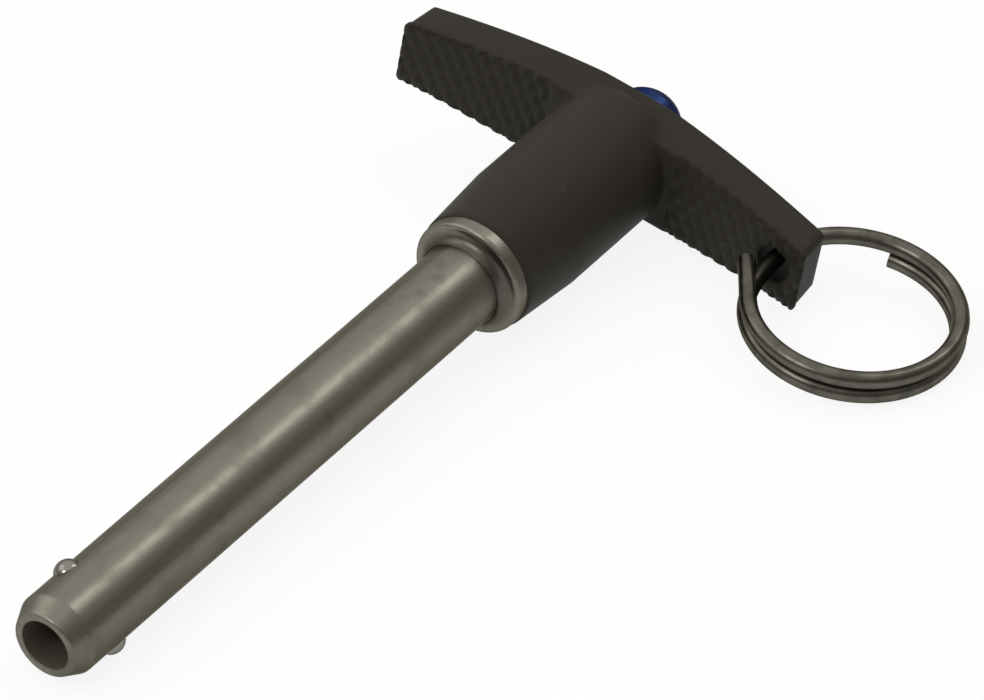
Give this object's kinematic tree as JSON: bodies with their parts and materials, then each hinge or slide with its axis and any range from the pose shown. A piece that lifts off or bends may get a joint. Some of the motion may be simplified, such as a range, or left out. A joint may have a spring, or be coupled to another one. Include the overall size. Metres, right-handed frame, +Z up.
{
  "type": "ball lock pin",
  "caption": "T-handle quick-release pin: a straight shank with spring-loaded locking balls near its nose, freed by a thumb button, with a split ring on one wing.",
  "frame": {"origin": "centre of the shoulder's front face, on the shank's axis", "axes": "+X along the shank towards its nose, dipping 2 degrees as the pin lies; +Y level, along the wing that carries the split ring; +Z up"},
  "size_m": [0.1108, 0.0731, 0.0166],
  "materials": {
    "handle_black": "semi-matte moulded, with light scuffs on the edges",
    "shank_steel": "ground and passivated, with fine lengthwise rub marks",
    "ball_chrome": "polished",
    "button_blue": "blue anodised satin",
    "spring_steel": "drawn wire",
    "ring_steel": "tumbled wire with dull spots"
  },
  "bodies": {
    "body": {"handle": "handle_black", "shank": "shank_steel", "collar": "shank_steel", "button_spring": "spring_steel"},
    "plunger": {"button": "button_blue", "spindle": "shank_steel"},
    "ball_1": {"locking_ball_1": "ball_chrome"},
    "ball_2": {"locking_ball_2": "ball_chrome"},
    "ring": {"split_ring": "ring_steel"}
  },
  "joints": [
    {"name": "button_press", "type": "slide", "parent": "body", "child": "plunger", "axis": [0.9994, 0, -0.036], "range_m": [0, 0.0026], "stiffness_N_per_m": 1500, "springref_m": -0.004, "deforming": ["button_spring"]},
    {"name": "ball_1_retract", "type": "slide", "parent": "body", "child": "ball_1", "axis": [-0.0278, 0.6348, -0.7722], "range_m": [0, 0.00086]},
    {"name": "ball_2_retract", "type": "slide", "parent": "body", "child": "ball_2", "axis": [0.0278, -0.6348, 0.7722], "range_m": [0, 0.00086]},
    {"name": "ring_swing", "type": "hinge", "parent": "body", "child": "ring", "pos_m": [-0.02694, 0.02261, -0.00269], "axis": [0.9994, 0, -0.036], "range_deg": [-150, 150]}
  ],
  "couplings": [
    {"joint": "ball_1_retract", "follows": "button_press", "ratio": 0.33077},
    {"joint": "ball_2_retract", "follows": "button_press", "ratio": 0.33077}
  ]
}
